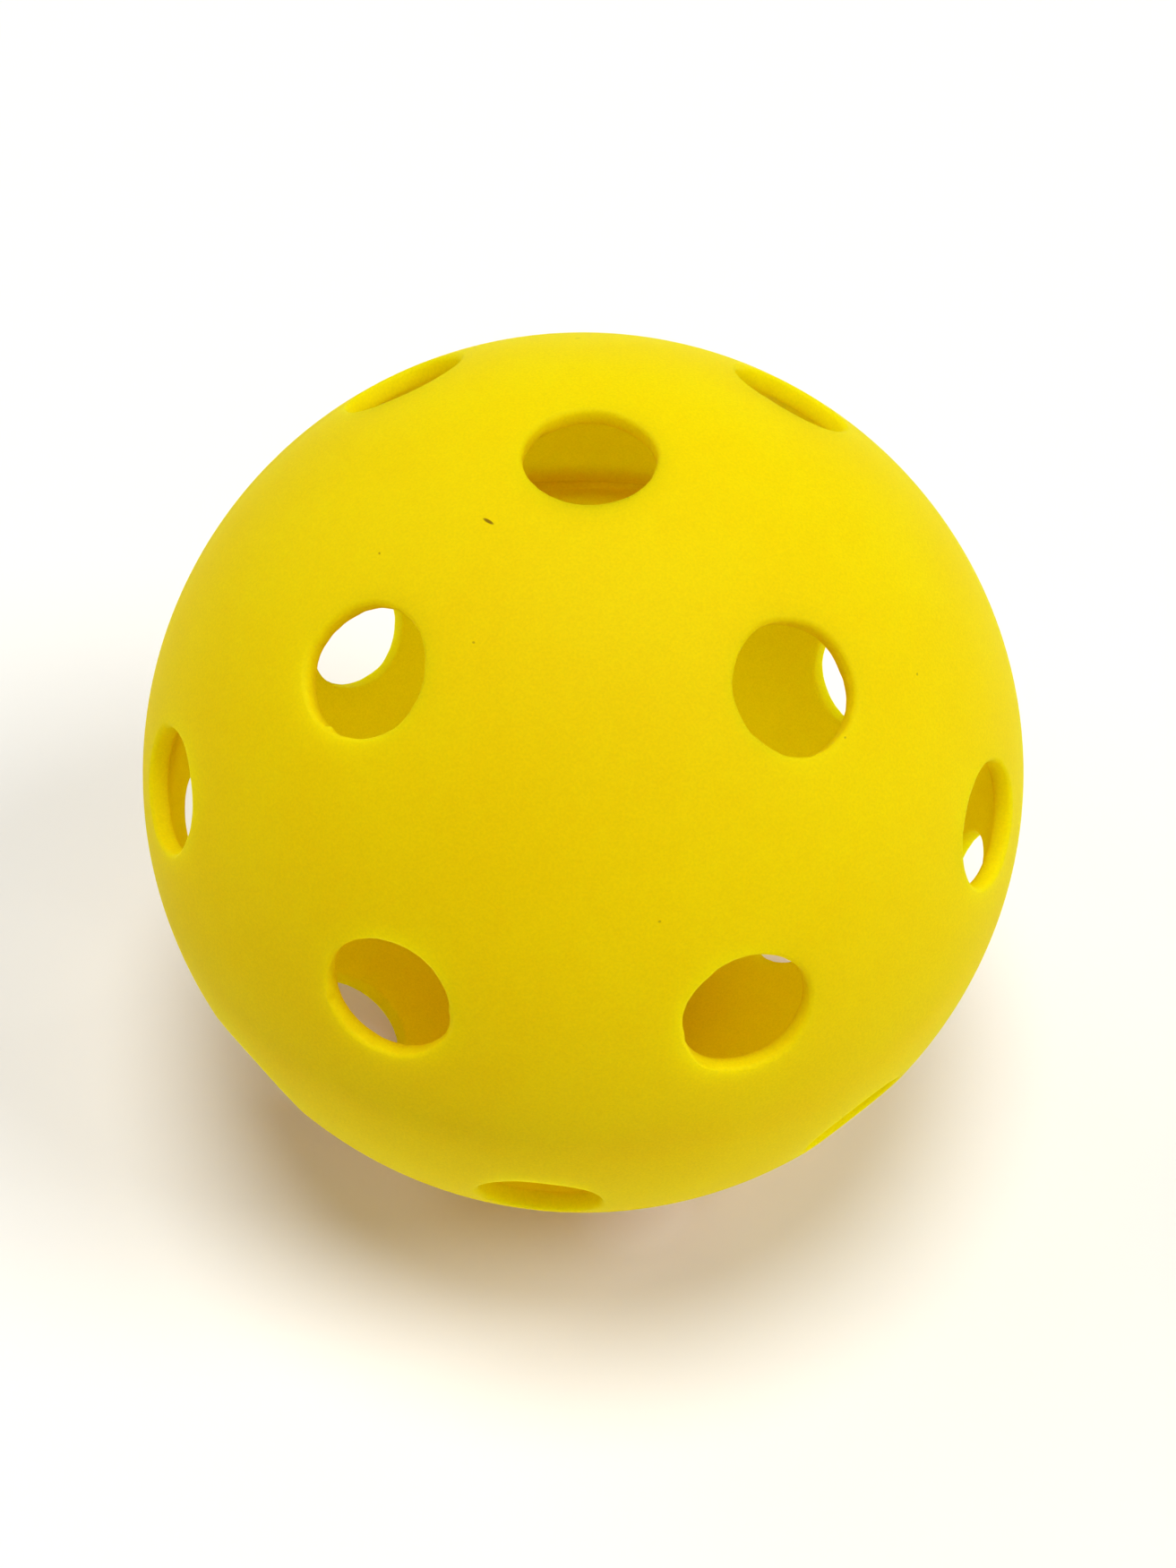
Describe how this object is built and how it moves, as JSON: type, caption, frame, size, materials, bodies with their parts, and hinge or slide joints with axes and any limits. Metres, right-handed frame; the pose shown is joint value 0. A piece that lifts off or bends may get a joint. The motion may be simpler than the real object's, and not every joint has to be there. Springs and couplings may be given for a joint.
{
  "type": "perforated plastic ball",
  "caption": "Hollow perforated plastic ball for court games, two half shells welded at the equator, with round air holes in rings about each pole.",
  "frame": {"origin": "centre of the ball", "axes": "+Z out through the middle of the upper half's pole hole; +X midway between two holes of the upper ring of four"},
  "size_m": [0.074, 0.074, 0.0732],
  "materials": {
    "shell": "matt, faintly grained, bright yellow",
    "seam": "the same yellow plastic, melted and trimmed flush"
  },
  "bodies": {
    "root": {"upper_half_shell": "shell", "lower_half_shell": "shell", "weld_seam": "seam"}
  },
  "joints": []
}
